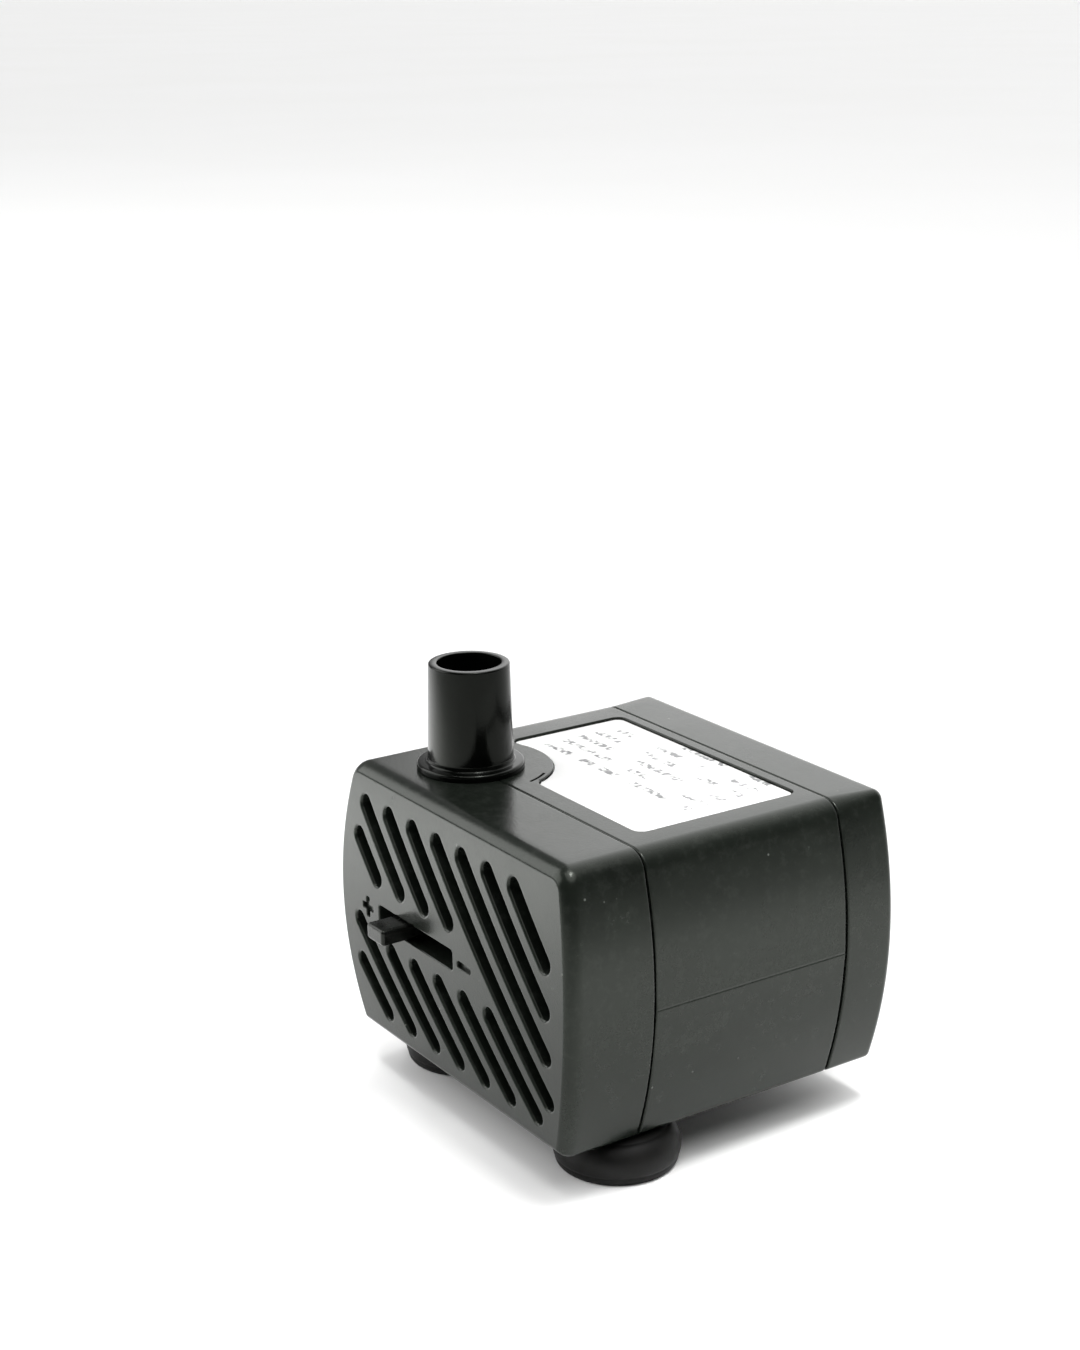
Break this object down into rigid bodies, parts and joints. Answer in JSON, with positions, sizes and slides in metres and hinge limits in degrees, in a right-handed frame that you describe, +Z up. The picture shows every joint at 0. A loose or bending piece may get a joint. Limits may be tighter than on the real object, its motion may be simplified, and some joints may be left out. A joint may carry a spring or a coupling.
{
  "type": "fountain submersible pump",
  "caption": "Compact magnetic-drive submersible pump with a slotted strainer cover, flow slider, hose spigot and suction-cup feet.",
  "frame": {"origin": "centre of the whole pump's outline on the surface its suction cups stand on", "axes": "+Z up along the outlet nozzle, -Y out of the grille face, +X to the right seen from the front"},
  "size_m": [0.046, 0.049, 0.0475],
  "materials": {
    "housing_plastic": "satin, fine moulded grain",
    "slider_plastic": "satin",
    "nozzle_plastic": "gloss",
    "chamber_plastic": "satin",
    "seal_rubber": "matt",
    "impeller_plastic": "satin",
    "magnet_ferrite": "ground, dull",
    "shaft_ceramic": "polished ceramic",
    "core_steel": "stacked sheets",
    "bobbin_plastic": "satin",
    "coil_copper": "enamelled copper",
    "coil_tape": "film tape",
    "pin_metal": "tinned",
    "potting_resin": "cast resin",
    "label_film": "matt film",
    "cup_rubber": "soft, slightly glossy"
  },
  "bodies": {
    "housing": {"chamber_cover": "chamber_plastic", "chamber_seal": "seal_rubber", "rotor_shaft": "shaft_ceramic", "front_bush": "seal_rubber", "rear_bush": "seal_rubber", "thrust_washers": "shaft_ceramic", "motor_body": "housing_plastic", "rear_cover": "housing_plastic", "stator_core": "core_steel", "coil_bobbin": "bobbin_plastic", "coil_winding": "coil_copper", "coil_tape": "coil_tape", "terminal_pins": "pin_metal", "potting": "potting_resin", "cord_gland": "seal_rubber", "label_plate": "label_film", "suction_cup_right": "cup_rubber", "suction_cup_left": "cup_rubber", "suction_cup_rear": "cup_rubber"},
    "front_cover": {"front_cover": "housing_plastic"},
    "flow_slider": {"flow_slider": "slider_plastic"},
    "nozzle": {"outlet_nozzle": "nozzle_plastic"},
    "rotor": {"impeller": "impeller_plastic", "rotor_magnet": "magnet_ferrite"}
  },
  "joints": [
    {"name": "cover_pull", "type": "slide", "parent": "housing", "child": "front_cover", "axis": [0, -1, 0], "range_m": [0, 0.016]},
    {"name": "flow_slide", "type": "slide", "parent": "front_cover", "child": "flow_slider", "axis": [1, 0, 0], "range_m": [-0.0028, 0.0088]},
    {"name": "nozzle_pull", "type": "slide", "parent": "housing", "child": "nozzle", "axis": [0, 0, 1], "range_m": [0, 0.012]},
    {"name": "rotor_spin", "type": "hinge", "parent": "housing", "child": "rotor", "pos_m": [-0.0035, 0, 0.02], "axis": [0, 1, 0], "continuous": true}
  ]
}
